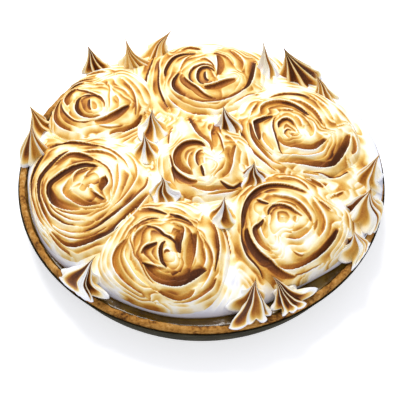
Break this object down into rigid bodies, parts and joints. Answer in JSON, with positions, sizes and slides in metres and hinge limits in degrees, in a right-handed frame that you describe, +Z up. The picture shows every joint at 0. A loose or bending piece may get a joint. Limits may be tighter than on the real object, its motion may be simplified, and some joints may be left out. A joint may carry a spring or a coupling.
{
  "type": "lemon meringue pie",
  "caption": "Round lemon meringue pie in its own sloping tin: baked crust, lemon curd and domed meringue top piped in torched rosettes with pulled kisses between them.",
  "frame": {"origin": "middle of the tin's flat underside, on the surface that the pie stands on", "axes": "+Z up, the pictured front faces -Y"},
  "size_m": [0.2403, 0.2396, 0.0716],
  "materials": {
    "tin_metal": "dull dark bakeware metal",
    "baked_crust": "rough crumbly golden brown pastry",
    "curd": "glossy set amber curd",
    "soft_meringue": "smooth soft white meringue",
    "toasted_meringue": "white meringue torched golden to dark brown"
  },
  "bodies": {
    "root": {"tin": "tin_metal", "crust": "baked_crust", "lemon_curd": "curd", "meringue_bed": "soft_meringue", "rosette_back_left": "toasted_meringue", "rosette_back": "toasted_meringue", "rosette_right": "toasted_meringue", "rosette_middle": "toasted_meringue", "rosette_left": "toasted_meringue", "rosette_front": "toasted_meringue", "rosette_front_right": "toasted_meringue", "kiss_01": "toasted_meringue", "kiss_02": "toasted_meringue", "kiss_03": "toasted_meringue", "kiss_04": "toasted_meringue", "kiss_05": "toasted_meringue", "kiss_06": "toasted_meringue", "kiss_07": "toasted_meringue", "kiss_08": "toasted_meringue", "kiss_09": "toasted_meringue", "kiss_10": "toasted_meringue", "kiss_11": "toasted_meringue", "kiss_12": "toasted_meringue", "kiss_13": "toasted_meringue", "kiss_14": "toasted_meringue", "kiss_15": "toasted_meringue", "kiss_16": "toasted_meringue", "kiss_17": "toasted_meringue", "kiss_18": "toasted_meringue", "kiss_19": "toasted_meringue", "kiss_20": "toasted_meringue"}
  },
  "joints": []
}
